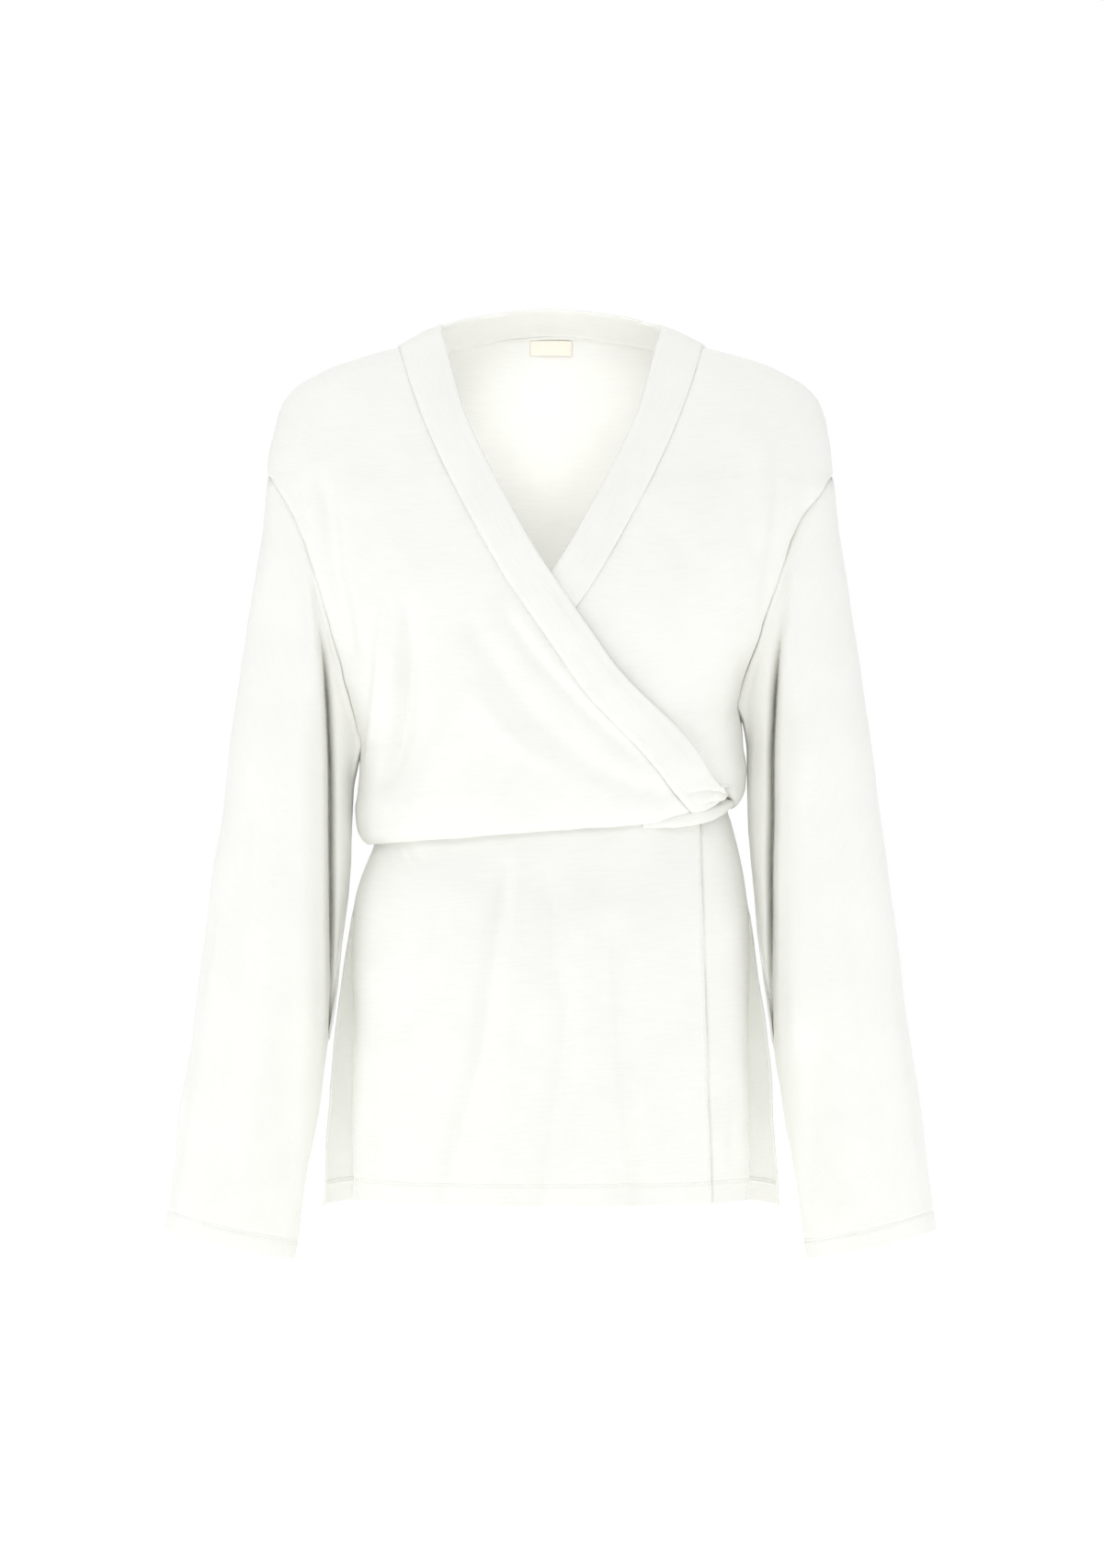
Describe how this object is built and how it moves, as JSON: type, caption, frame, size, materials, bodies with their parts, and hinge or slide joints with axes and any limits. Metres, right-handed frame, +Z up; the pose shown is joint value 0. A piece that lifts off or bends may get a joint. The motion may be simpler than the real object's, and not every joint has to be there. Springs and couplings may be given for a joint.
{
  "type": "wrap top",
  "caption": "Long-sleeved jersey wrap top with a flat neckband, a bloused waist and a side-slit peplum, in its worn shape.",
  "frame": {"origin": "midway between the two points where the shoulder seams meet the neckband", "axes": "+Z up, the front faces -Y, the wearer's right is -X"},
  "size_m": [0.5852, 0.2257, 0.7225],
  "materials": {
    "jersey": "matt fine knit, ivory white",
    "jersey_band": "matt fine knit folded double, ivory white",
    "label": "smooth woven tape, cream"
  },
  "bodies": {
    "root": {"bodice_back": "jersey", "bodice_front_right": "jersey", "bodice_front_left": "jersey", "neckband": "jersey_band", "sleeve_right": "jersey", "sleeve_left": "jersey", "peplum_back": "jersey", "peplum_front_right": "jersey", "peplum_front_left": "jersey", "neck_label": "label"}
  },
  "joints": []
}
